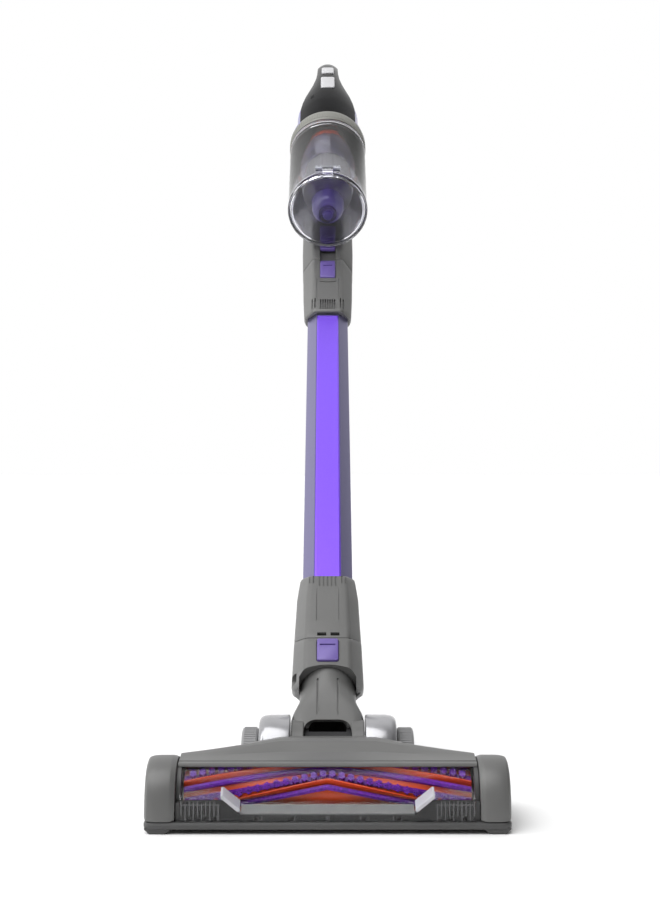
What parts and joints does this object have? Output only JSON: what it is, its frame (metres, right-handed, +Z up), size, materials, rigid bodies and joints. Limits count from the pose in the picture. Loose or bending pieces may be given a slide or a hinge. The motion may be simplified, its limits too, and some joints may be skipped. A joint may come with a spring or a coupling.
{
  "type": "cordless stick vacuum",
  "caption": "Leaning cordless stick vacuum: wide floor head with clear brush window, purple wand, swivel neck, clear dust bin, loop handle and battery.",
  "frame": {"origin": "on the floor, at the middle of the object's plan outline, in its leaning pose of use", "axes": "+Z up; -Y the way the floor head faces; +X to the right seen from the front; the wand leans back towards +Y by 49.5 degrees"},
  "size_m": [0.27, 0.9112, 0.803],
  "materials": {
    "grey_housing": "satin moulded",
    "dark_housing": "fine matte",
    "silver_plastic": "polished",
    "steel": "ground",
    "rubber": "matt",
    "black_gloss": "gloss",
    "purple_plastic": "satin",
    "purple_anodised": "purple anodised",
    "lavender_anodised": "grey-violet anodised",
    "violet_clear": "tinted",
    "clear_plastic": "clear polished",
    "orange_plastic": "satin",
    "bristle": "nylon tufts",
    "filter_mesh": "fine woven mesh",
    "filter_paper": "pleated",
    "board_green": "varnished",
    "light_button": "satin",
    "battery_black": "fine matte"
  },
  "bodies": {
    "handheld": {"nose_housing": "grey_housing", "housing_left": "violet_clear", "housing_right": "violet_clear", "top_cover": "black_gloss", "control_board": "board_green", "suction_motor": "steel", "inlet_seal": "rubber", "filter_frame": "orange_plastic", "filter_screen": "filter_mesh", "pleated_filter": "filter_paper", "separator_skirt": "purple_plastic", "filter_tip": "purple_plastic", "bin_latch_spring": "steel"},
    "battery": {"battery_pack": "battery_black"},
    "battery_latch": {"battery_latch": "light_button"},
    "power_button": {"power_button": "light_button"},
    "boost_button": {"boost_button": "light_button"},
    "filter_ring": {"filter_ring": "grey_housing"},
    "suction_fan": {"suction_fan": "purple_plastic"},
    "bin": {"bin_body": "clear_plastic", "bin_door_pin": "steel"},
    "bin_door": {"bin_door": "clear_plastic"},
    "bin_latch": {"bin_latch": "purple_plastic"},
    "wand": {"wand_tube": "lavender_anodised", "wand_front_strip": "purple_anodised", "wand_lower_collar": "grey_housing", "wand_upper_collar": "grey_housing", "wand_release_spring": "steel"},
    "wand_release_button": {"wand_release_button": "purple_plastic"},
    "neck": {"neck_housing": "grey_housing", "head_release_spring": "steel"},
    "head_release_button": {"head_release_button": "purple_plastic"},
    "yoke": {"yoke": "grey_housing"},
    "floor_head": {"head_base": "dark_housing", "head_cover": "grey_housing", "end_cap_left": "grey_housing", "end_cap_right": "grey_housing", "nozzle_window": "clear_plastic", "gate_comb": "rubber", "bumper_frame": "dark_housing", "suction_duct": "rubber", "duct_drum": "rubber", "pivot_pod_left": "silver_plastic", "pivot_pod_right": "silver_plastic", "hinge_pin_left": "steel", "hinge_pin_right": "steel", "wheel_axle_left": "steel", "wheel_axle_right": "steel", "brush_motor": "steel", "drive_belt": "rubber", "brush_bearing_left": "steel", "brush_bearing_right": "steel"},
    "brush": {"brush_core": "orange_plastic", "bristle_strip_1": "bristle", "bristle_strip_2": "bristle"},
    "motor_pulley": {"motor_pulley": "steel"},
    "rear_wheel_left": {"rear_wheel_left": "grey_housing"},
    "rear_wheel_right": {"rear_wheel_right": "grey_housing"},
    "front_roller_left": {"front_roller_left": "rubber"},
    "front_roller_right": {"front_roller_right": "rubber"}
  },
  "joints": [
    {"name": "wand_pull_off", "type": "slide", "parent": "handheld", "child": "wand", "axis": [0, -0.7604, -0.6494], "range_m": [0, 0.03]},
    {"name": "wand_release_press", "type": "slide", "parent": "wand", "child": "wand_release_button", "axis": [0, 0.6494, -0.7604], "range_m": [0, 0.0024], "stiffness_N_per_m": 400, "springref_m": -0.001, "deforming": ["wand_release_spring"]},
    {"name": "neck_pull_off", "type": "slide", "parent": "wand", "child": "neck", "axis": [0, -0.7604, -0.6494], "range_m": [0, 0.025]},
    {"name": "head_release_press", "type": "slide", "parent": "neck", "child": "head_release_button", "axis": [0, 0.6494, -0.7604], "range_m": [0, 0.0022], "stiffness_N_per_m": 400, "springref_m": -0.001, "deforming": ["head_release_spring"]},
    {"name": "neck_swivel", "type": "hinge", "parent": "neck", "child": "yoke", "pos_m": [0, -0.30201, 0.07697], "axis": [0, 0.7604, 0.6494], "range_deg": [-60, 60]},
    {"name": "head_tilt", "type": "hinge", "parent": "yoke", "child": "floor_head", "pos_m": [0, -0.34764, 0.038], "axis": [1, 0, 0], "range_deg": [-49.5, 35.5]},
    {"name": "brush_spin", "type": "hinge", "parent": "floor_head", "child": "brush", "pos_m": [0, -0.41964, 0.0235], "axis": [1, 0, 0], "continuous": true},
    {"name": "motor_pulley_spin", "type": "hinge", "parent": "floor_head", "child": "motor_pulley", "pos_m": [-0.118, -0.38564, 0.0306], "axis": [1, 0, 0], "continuous": true},
    {"name": "rear_wheel_left_spin", "type": "hinge", "parent": "floor_head", "child": "rear_wheel_left", "pos_m": [-0.0625, -0.33764, 0.0275], "axis": [1, 0, 0], "continuous": true},
    {"name": "rear_wheel_right_spin", "type": "hinge", "parent": "floor_head", "child": "rear_wheel_right", "pos_m": [0.0625, -0.33764, 0.0275], "axis": [1, 0, 0], "continuous": true},
    {"name": "front_roller_left_spin", "type": "hinge", "parent": "floor_head", "child": "front_roller_left", "pos_m": [-0.092, -0.38564, 0.0065], "axis": [1, 0, 0], "continuous": true},
    {"name": "front_roller_right_spin", "type": "hinge", "parent": "floor_head", "child": "front_roller_right", "pos_m": [0.092, -0.38564, 0.0065], "axis": [1, 0, 0], "continuous": true},
    {"name": "bin_pull_off", "type": "slide", "parent": "handheld", "child": "bin", "axis": [0, -0.7604, -0.6494], "range_m": [0, 0.16]},
    {"name": "bin_door_swing", "type": "hinge", "parent": "bin", "child": "bin_door", "pos_m": [0, 0.11835, 0.60103], "axis": [-1, 0, 0], "range_deg": [0, 95]},
    {"name": "bin_latch_press", "type": "slide", "parent": "handheld", "child": "bin_latch", "axis": [0, 0.6494, -0.7604], "range_m": [0, 0.0022], "stiffness_N_per_m": 400, "springref_m": -0.001, "deforming": ["bin_latch_spring"]},
    {"name": "filter_ring_turn", "type": "hinge", "parent": "handheld", "child": "filter_ring", "pos_m": [0, 0.25543, 0.65302], "axis": [0, 0.7604, 0.6494], "continuous": true},
    {"name": "fan_spin", "type": "hinge", "parent": "handheld", "child": "suction_fan", "pos_m": [0, 0.27596, 0.67055], "axis": [0, 0.7604, 0.6494], "continuous": true},
    {"name": "battery_pull_off", "type": "slide", "parent": "handheld", "child": "battery", "axis": [0, 0.6494, -0.7604], "range_m": [0, 0.06]},
    {"name": "battery_latch_slide", "type": "slide", "parent": "battery", "child": "battery_latch", "axis": [0, 0.7604, 0.6494], "range_m": [0, 0.003], "stiffness_N_per_m": 400, "springref_m": -0.001},
    {"name": "power_press", "type": "slide", "parent": "handheld", "child": "power_button", "axis": [0, 0.6494, -0.7604], "range_m": [0, 0.0012], "stiffness_N_per_m": 400, "springref_m": -0.001},
    {"name": "boost_press", "type": "slide", "parent": "handheld", "child": "boost_button", "axis": [0, 0.6494, -0.7604], "range_m": [0, 0.0012], "stiffness_N_per_m": 400, "springref_m": -0.001}
  ],
  "couplings": [
    {"joint": "motor_pulley_spin", "follows": "brush_spin", "ratio": 2}
  ]
}
